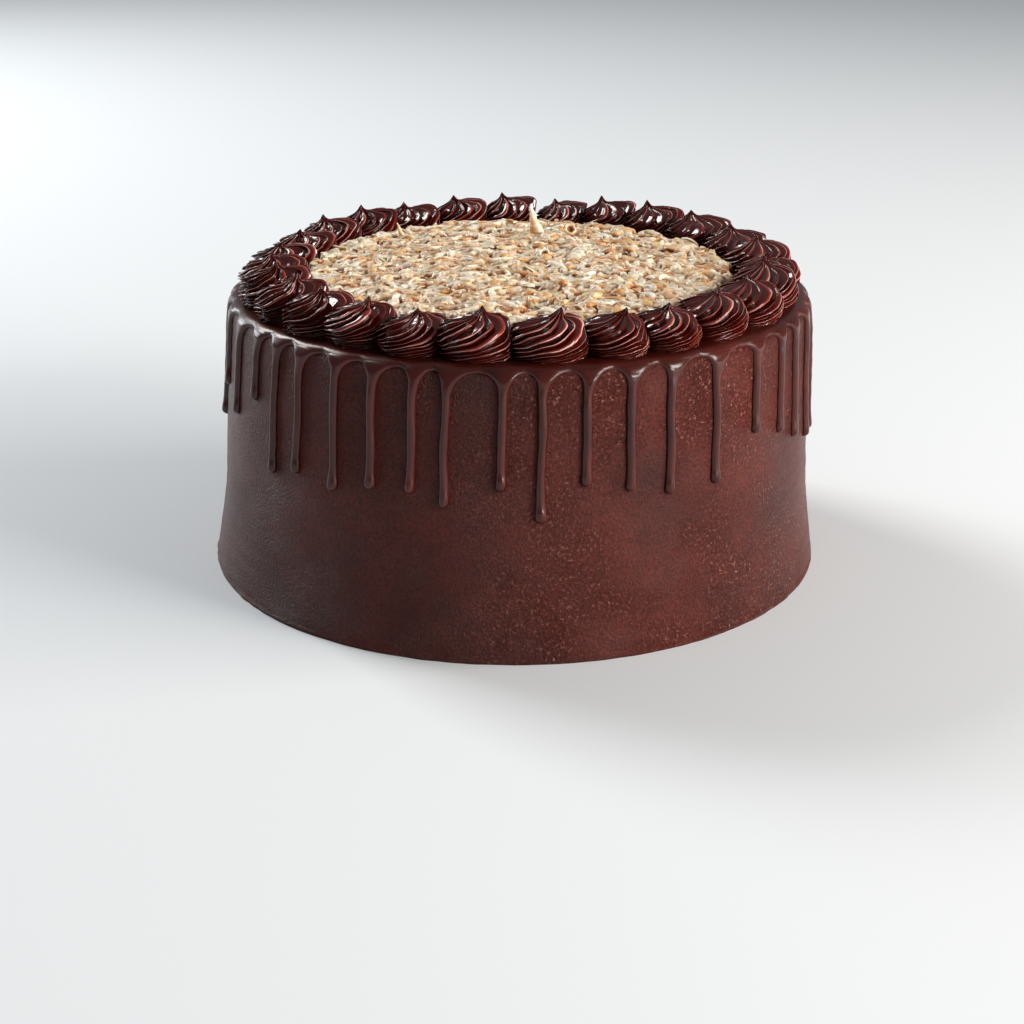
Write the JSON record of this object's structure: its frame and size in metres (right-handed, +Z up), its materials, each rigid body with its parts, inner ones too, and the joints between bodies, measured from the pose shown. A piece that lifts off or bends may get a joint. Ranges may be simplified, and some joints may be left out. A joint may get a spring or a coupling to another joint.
{
  "type": "german chocolate cake",
  "caption": "Uncut round chocolate cake with ganache drips down the side, a ring of piped swirls on the rim and a coconut and pecan topping.",
  "frame": {"origin": "middle of the flat underside of the cake", "axes": "+Z up through the cake; -Y towards the viewer of the picture, +X to that viewer's right"},
  "size_m": [0.2112, 0.2112, 0.1113],
  "materials": {
    "frosting": "satin chocolate buttercream, smoothed, with fine pits and drag marks",
    "ganache": "smooth poured chocolate ganache with a soft gloss",
    "piped_frosting": "glossy dark chocolate frosting with sharp piped ridges",
    "coconut_pecan": "moist caramel coloured custard with shredded coconut and chopped pecans"
  },
  "bodies": {
    "root": {"cake_body": "frosting", "ganache_drip": "ganache", "coconut_pecan_topping": "coconut_pecan", "swirl_01": "piped_frosting", "swirl_02": "piped_frosting", "swirl_03": "piped_frosting", "swirl_04": "piped_frosting", "swirl_05": "piped_frosting", "swirl_06": "piped_frosting", "swirl_07": "piped_frosting", "swirl_08": "piped_frosting", "swirl_09": "piped_frosting", "swirl_10": "piped_frosting", "swirl_11": "piped_frosting", "swirl_12": "piped_frosting", "swirl_13": "piped_frosting", "swirl_14": "piped_frosting", "swirl_15": "piped_frosting", "swirl_16": "piped_frosting", "swirl_17": "piped_frosting", "swirl_18": "piped_frosting", "swirl_19": "piped_frosting", "swirl_20": "piped_frosting", "swirl_21": "piped_frosting", "swirl_22": "piped_frosting", "swirl_23": "piped_frosting", "swirl_24": "piped_frosting", "swirl_25": "piped_frosting", "swirl_26": "piped_frosting", "swirl_27": "piped_frosting"}
  },
  "joints": []
}
